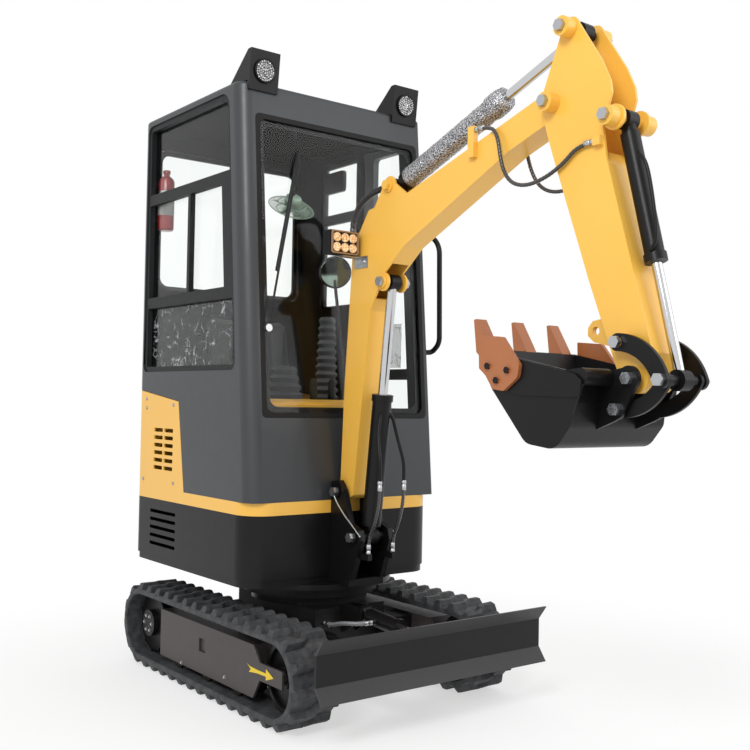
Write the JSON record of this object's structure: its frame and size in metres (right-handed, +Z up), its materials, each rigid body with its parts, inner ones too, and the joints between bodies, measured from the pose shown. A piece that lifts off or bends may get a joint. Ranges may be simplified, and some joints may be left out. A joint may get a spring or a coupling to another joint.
{
  "type": "mini excavator",
  "caption": "Compact tracked excavator with a closed cab, a two-part digging arm with a toothed bucket, and a dozer blade.",
  "frame": {"origin": "on the ground, under the middle of the outline of the whole machine", "axes": "+X forward, towards the blade and bucket; +Y to the left of the machine; +Z up"},
  "size_m": [2.317, 0.93, 2.24],
  "materials": {
    "track_rubber": "moulded rubber, satin",
    "yellow_paint": "gloss enamel",
    "grey_paint": "satin powder coat",
    "black_paint": "gloss enamel",
    "chrome": "hard chrome, polished",
    "cast_iron": "as cast, painted",
    "glass": "clear",
    "black_plastic": "moulded",
    "seat_vinyl": "vinyl",
    "tooth_paint": "copper-coloured paint",
    "hose_rubber": "wrapped hose",
    "red_paint": "gloss enamel"
  },
  "bodies": {
    "undercarriage": {"track_left": "track_rubber", "track_right": "track_rubber", "track_frames": "black_paint", "drive_sprockets": "cast_iron", "front_idlers": "cast_iron", "bottom_rollers": "cast_iron", "carbody": "black_paint", "slew_ring": "black_paint", "blade_hose": "hose_rubber"},
    "blade": {"blade": "black_paint"},
    "blade_barrel": {"blade_cylinder_barrel": "black_paint"},
    "blade_rod": {"blade_cylinder_rod": "chrome"},
    "house": {"turntable": "black_paint", "boom_bracket": "black_paint", "skirts": "black_paint", "counterweight": "black_paint", "deck": "yellow_paint", "side_panels": "yellow_paint", "engine_block": "cast_iron", "cab_shell": "grey_paint", "window_frames": "black_plastic", "cab_glass": "glass", "seat_base": "yellow_paint", "seat": "seat_vinyl", "controls": "black_plastic", "roof_lights": "black_paint", "wiper": "black_plastic", "grab_rail": "black_paint", "fire_extinguisher": "red_paint", "fan": "black_plastic", "mirror": "black_plastic", "base_hose_left": "hose_rubber", "base_hose_right": "hose_rubber"},
    "door": {"door": "grey_paint", "door_glass": "glass"},
    "hood": {"rear_hood": "yellow_paint"},
    "boom": {"boom": "yellow_paint", "work_light": "black_paint", "boom_hose": "hose_rubber"},
    "boom_barrel": {"boom_cylinder_barrel": "black_paint"},
    "boom_rod": {"boom_cylinder_rod": "chrome"},
    "stick": {"stick": "yellow_paint", "bucket_hose_left": "hose_rubber", "bucket_hose_right": "hose_rubber"},
    "stick_barrel": {"stick_cylinder_barrel": "black_paint"},
    "stick_rod": {"stick_cylinder_rod": "chrome"},
    "bucket_barrel": {"bucket_cylinder_barrel": "black_paint"},
    "bucket_rod": {"bucket_cylinder_rod": "chrome"},
    "rocker": {"rocker_links": "black_paint"},
    "link": {"bucket_link": "black_paint"},
    "bucket": {"bucket": "black_paint", "bucket_teeth": "tooth_paint", "side_cutters": "tooth_paint"}
  },
  "joints": [
    {"name": "slew", "type": "hinge", "parent": "undercarriage", "child": "house", "pos_m": [-0.4915, 0, 0.4], "axis": [0, 0, 1], "continuous": true},
    {"name": "boom_lift", "type": "hinge", "parent": "house", "child": "boom", "pos_m": [-0.2245, 0, 0.705], "axis": [0, -1, 0], "range_deg": [-88, 3]},
    {"name": "boom_barrel_swing", "type": "hinge", "parent": "house", "child": "boom_barrel", "pos_m": [-0.1235, 0, 0.557], "axis": [0, -1, 0], "range_deg": [-84.6, 3.85]},
    {"name": "boom_rod_slide", "type": "slide", "parent": "boom_barrel", "child": "boom_rod", "axis": [0.1118, 0, 0.9937], "range_m": [-0.24275, 0.01021]},
    {"name": "stick_crowd", "type": "hinge", "parent": "boom", "child": "stick", "pos_m": [0.7435, 0, 1.86], "axis": [0, 1, 0], "range_deg": [-74, 28]},
    {"name": "stick_barrel_swing", "type": "hinge", "parent": "boom", "child": "stick_barrel", "pos_m": [0.0005, 0, 1.75], "axis": [0, 1, 0], "range_deg": [-4.51, 2.33]},
    {"name": "stick_rod_slide", "type": "slide", "parent": "stick_barrel", "child": "stick_rod", "axis": [0.9349, 0, 0.3548], "range_m": [-0.22576, 0.08667]},
    {"name": "bucket_curl", "type": "hinge", "parent": "stick", "child": "bucket", "pos_m": [1.0365, 0, 1.094], "axis": [0, 1, 0], "range_deg": [-150, 0]},
    {"name": "rocker_swing", "type": "hinge", "parent": "stick", "child": "rocker", "pos_m": [1.0005, 0, 1.186], "axis": [0, 1, 0], "range_deg": [-75.25, 1]},
    {"name": "link_swing", "type": "hinge", "parent": "rocker", "child": "link", "pos_m": [1.1315, 0, 1.09], "axis": [0, 1, 0], "range_deg": [-1, 12.55]},
    {"name": "bucket_barrel_swing", "type": "hinge", "parent": "stick", "child": "bucket_barrel", "pos_m": [0.9565, 0, 1.778], "axis": [0, 1, 0], "range_deg": [-7.15, 1]},
    {"name": "bucket_rod_slide", "type": "slide", "parent": "bucket_barrel", "child": "bucket_rod", "axis": [0.2465, 0, -0.9691], "range_m": [-0.18461, 0.002]},
    {"name": "blade_lift", "type": "hinge", "parent": "undercarriage", "child": "blade", "pos_m": [-0.1615, 0, 0.2], "axis": [0, -1, 0], "range_deg": [-36, 8]},
    {"name": "blade_barrel_swing", "type": "hinge", "parent": "undercarriage", "child": "blade_barrel", "pos_m": [-0.1495, 0, 0.286], "axis": [0, -1, 0], "range_deg": [-35.56, 8.68]},
    {"name": "blade_rod_slide", "type": "slide", "parent": "blade_barrel", "child": "blade_rod", "axis": [0.9972, 0, -0.0743], "range_m": [-0.01373, 0.05478]},
    {"name": "door_swing", "type": "hinge", "parent": "house", "child": "door", "pos_m": [-0.6915, 0.414, 1.37], "axis": [0, 0, 1], "range_deg": [0, 100]},
    {"name": "hood_swing", "type": "hinge", "parent": "house", "child": "hood", "pos_m": [-1.1515, 0, 1.045], "axis": [0, 1, 0], "range_deg": [0, 75]}
  ],
  "couplings": [
    {"joint": "boom_barrel_swing", "follows": "boom_lift", "ratio": 0.95},
    {"joint": "boom_rod_slide", "follows": "boom_lift", "m_per_rad": 0.15675},
    {"joint": "stick_barrel_swing", "follows": "stick_crowd", "ratio": 0.0475},
    {"joint": "stick_rod_slide", "follows": "stick_crowd", "m_per_rad": 0.17325},
    {"joint": "rocker_swing", "follows": "bucket_curl", "ratio": 0.495},
    {"joint": "link_swing", "follows": "bucket_curl", "ratio": -0.077},
    {"joint": "bucket_barrel_swing", "follows": "bucket_curl", "ratio": 0.041},
    {"joint": "bucket_rod_slide", "follows": "bucket_curl", "m_per_rad": 0.06975},
    {"joint": "blade_barrel_swing", "follows": "blade_lift", "ratio": 0.96},
    {"joint": "blade_rod_slide", "follows": "blade_lift", "m_per_rad": -0.084}
  ]
}
